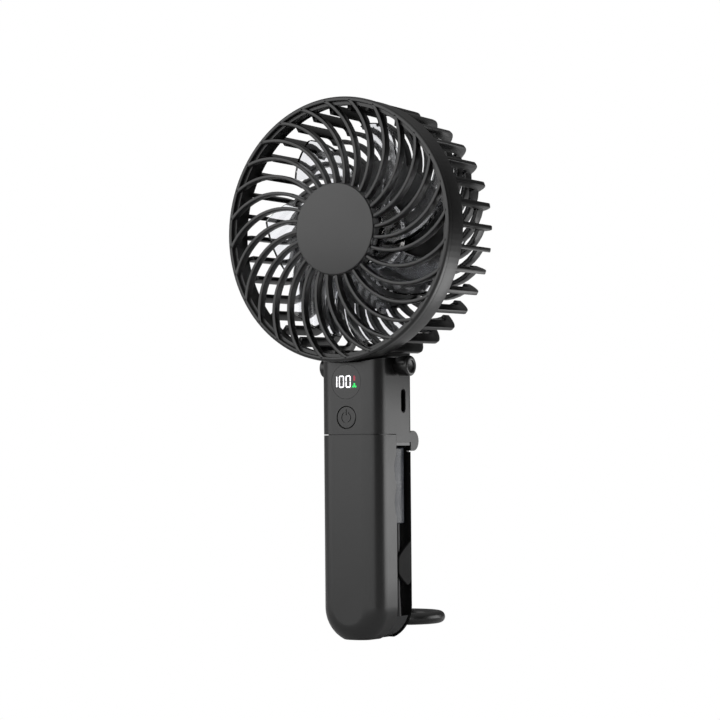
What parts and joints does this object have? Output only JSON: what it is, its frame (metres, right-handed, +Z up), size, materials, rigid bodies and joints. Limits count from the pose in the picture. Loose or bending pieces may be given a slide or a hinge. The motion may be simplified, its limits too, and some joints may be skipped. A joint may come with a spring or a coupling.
{
  "type": "hand-held desk fan",
  "caption": "Folding hand-held fan that stands on a desk: spiral-ribbed round head on a tilting neck, slim handle with lit display, rear leg and stand ring.",
  "frame": {"origin": "middle of the handle's flat bottom", "axes": "+Z up along the handle, -Y the way the fan blows and the display faces, +X to the right seen from the front"},
  "size_m": [0.1, 0.0628, 0.2046],
  "materials": {
    "abs_black": "fine-textured moulded ABS",
    "abs_grille": "fine-textured moulded ABS",
    "abs_gloss": "smooth moulded ABS",
    "smoke_clear": "smoke-tinted polycarbonate",
    "plug_clear": "smoke-tinted polycarbonate",
    "window": "tinted display window",
    "lit_white": "lit display segments",
    "lit_red": "lit display mark",
    "lit_green": "lit display mark",
    "steel": "ground steel",
    "nickel": "nickel plate",
    "copper": "enamelled copper wire",
    "board": "solder-masked glass epoxy",
    "cell_wrap": "heat-shrink wrap",
    "ferrite": "bonded ferrite",
    "lead_jacket": "soft jacket"
  },
  "bodies": {
    "handle": {"upper_shell": "abs_black", "display_window": "window", "display_digits": "lit_white", "battery_mark": "lit_red", "speed_mark": "lit_green", "control_board": "board", "button_switch": "abs_gloss", "usb_port": "nickel", "battery_cell": "cell_wrap", "cell_contacts": "nickel", "lower_front_shell": "abs_black", "core_tray": "abs_gloss", "plug_shell": "plug_clear", "plug_core": "abs_gloss", "plug_tip": "nickel", "lead_gland": "lead_jacket", "charging_lead": "lead_jacket", "leg_pivot_pin": "steel", "hinge_shaft": "steel", "hinge_knob_left": "abs_black", "hinge_knob_right": "abs_black", "neck_washers": "abs_gloss"},
    "head": {"front_grille": "abs_grille", "hub_cap": "abs_black", "rear_cage": "abs_grille", "motor_base": "abs_black", "motor_screws": "steel", "motor_bearing_rear": "steel", "motor_bearing_front": "steel", "stator_core": "steel", "stator_windings": "copper"},
    "rotor": {"fan_rotor": "smoke_clear", "motor_bell": "nickel", "magnet_ring": "ferrite", "motor_shaft": "steel", "rotor_nut": "nickel"},
    "button": {"power_button": "abs_black"},
    "leg": {"rear_leg": "abs_black", "leg_tab": "abs_black"},
    "ring": {"stand_ring": "abs_black"}
  },
  "joints": [
    {"name": "head_tilt", "type": "hinge", "parent": "handle", "child": "head", "pos_m": [0, 0.002, 0.1032], "axis": [1, 0, 0], "range_deg": [-20, 0]},
    {"name": "rotor_spin", "type": "hinge", "parent": "head", "child": "rotor", "pos_m": [0, 0, 0.1546], "axis": [0, 1, 0], "continuous": true},
    {"name": "power_button_press", "type": "slide", "parent": "handle", "child": "button", "axis": [0, 1, 0], "range_m": [0, 0.0004], "stiffness_N_per_m": 400},
    {"name": "leg_swing", "type": "hinge", "parent": "handle", "child": "leg", "pos_m": [0, 0.013, 0.0749], "axis": [1, 0, 0], "range_deg": [0, 35]},
    {"name": "ring_fold", "type": "hinge", "parent": "leg", "child": "ring", "pos_m": [0, 0.01545, 0.0066], "axis": [1, 0, 0], "range_deg": [0, 90]}
  ]
}
